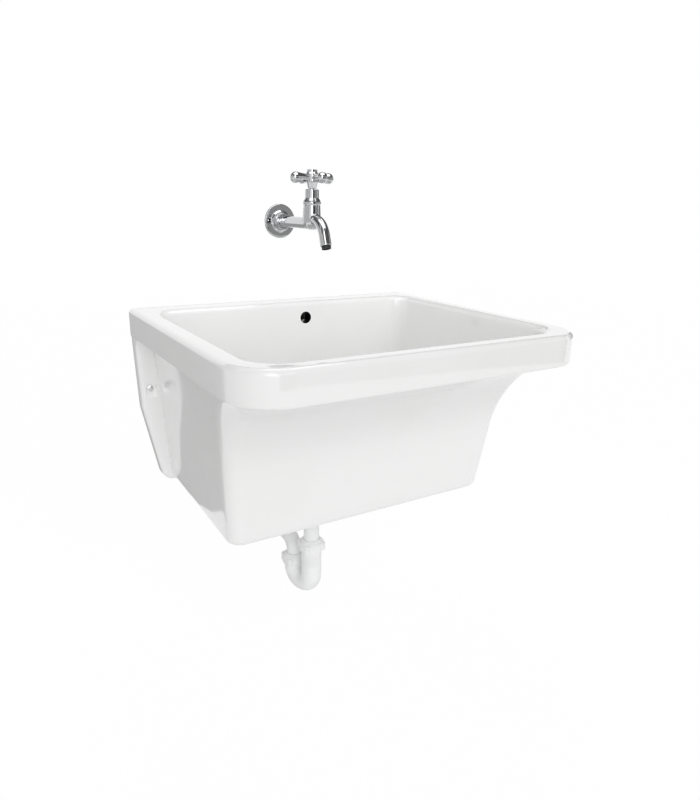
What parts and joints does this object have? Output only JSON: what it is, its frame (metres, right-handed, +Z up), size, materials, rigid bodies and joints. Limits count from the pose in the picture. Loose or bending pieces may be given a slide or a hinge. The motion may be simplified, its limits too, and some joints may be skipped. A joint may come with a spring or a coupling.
{
  "type": "utility laundry sink",
  "caption": "Wall-hung white laundry sink with a deep bowl and a coved front, its plastic waste and trap, and a cross-handled wall tap above it.",
  "frame": {"origin": "on the wall plane, midway between the basin's two fixing holes, 147 mm below the rim's top", "axes": "+Z up, +Y into the wall, +X to the right of someone facing the sink"},
  "size_m": [0.6, 0.5705, 0.8489],
  "materials": {
    "glazed_ceramic": null,
    "white_plastic": "white moulded plastic, satin",
    "chromed_brass": "polished chrome on brass",
    "bare_brass": "turned brass",
    "stainless": "stainless steel",
    "black_rubber": "black rubber",
    "grey_rubber": "grey rubber",
    "packing": "waxed gland packing",
    "black_plastic": "black plastic"
  },
  "bodies": {
    "sink": {"basin": "glazed_ceramic", "strainer_grid": "stainless", "strainer_screw": "stainless", "strainer_gasket": "black_rubber", "waste_gasket": "black_rubber", "waste_body": "white_plastic", "tailpiece": "white_plastic", "tailpiece_washer": "grey_rubber", "tailpiece_nut": "white_plastic", "trap_inlet_nut": "white_plastic", "trap_inlet_washer": "grey_rubber", "trap_bend": "white_plastic", "trap_outlet_nut": "white_plastic", "trap_outlet_washer": "grey_rubber", "trap_arm": "white_plastic", "wall_rosette": "white_plastic", "tap_body": "chromed_brass", "tap_escutcheon": "chromed_brass", "spout_insert": "black_plastic", "tap_bonnet": "chromed_brass", "bonnet_gasket": "grey_rubber", "gland_packing": "packing", "gland_nut": "chromed_brass"},
    "valve": {"valve_disc": "bare_brass", "valve_washer": "black_rubber", "washer_nut": "bare_brass"},
    "spindle": {"tap_spindle": "chromed_brass", "tap_handle": "chromed_brass", "handle_screw": "stainless", "handle_cap": "chromed_brass"}
  },
  "joints": [
    {"name": "valve_rise", "type": "slide", "parent": "sink", "child": "valve", "axis": [0, 0, 1], "range_m": [0, 0.005]},
    {"name": "handle_turn", "type": "hinge", "parent": "valve", "child": "spindle", "pos_m": [0, -0.1335, 0.2988], "axis": [0, 0, 1], "range_deg": [0, 720]}
  ],
  "couplings": [
    {"joint": "valve_rise", "follows": "handle_turn", "m_per_rad": 0.00039789}
  ]
}
